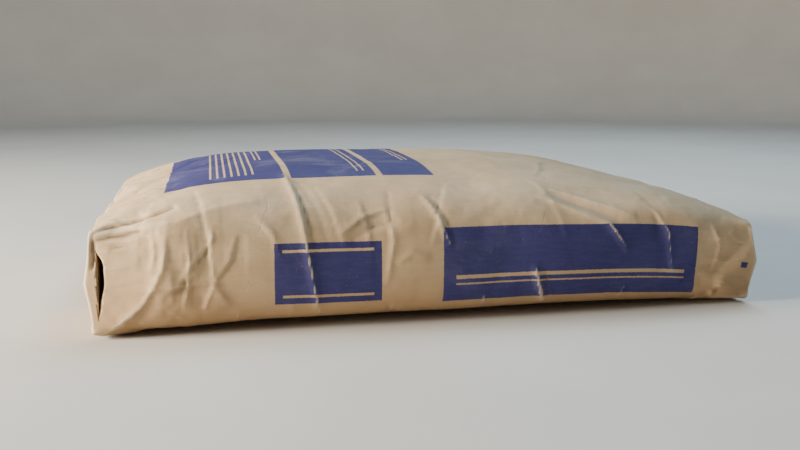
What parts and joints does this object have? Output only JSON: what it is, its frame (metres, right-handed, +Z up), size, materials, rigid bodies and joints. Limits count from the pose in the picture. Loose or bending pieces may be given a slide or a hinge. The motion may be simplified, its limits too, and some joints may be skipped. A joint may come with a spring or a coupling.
{
  "type": "filled cement bag",
  "caption": "Filled paper valve sack of cement lying on its broad side, with folded block ends, a pasted cover sheet on each end and a flat valve sleeve at one corner.",
  "frame": {"origin": "on the floor under the middle of the lying sack", "axes": "+X along the sack, away from the end with the valve; +Y across it, away from the long side where the valve's mouth is; +Z up"},
  "size_m": [0.634, 0.4242, 0.1355],
  "materials": {
    "kraft_paper": "natural kraft, matt, creased, printed in dark blue",
    "cover_sheet": "natural kraft, matt, printed in dark blue",
    "sleeve_paper": "natural kraft, matt, unprinted",
    "cement_powder": "fine grey powder, packed"
  },
  "bodies": {
    "root": {"paper_sack": "kraft_paper", "valve_end_patch": "cover_sheet", "plain_end_patch": "cover_sheet", "valve_sleeve": "sleeve_paper", "cement_fill": "cement_powder"}
  },
  "joints": []
}
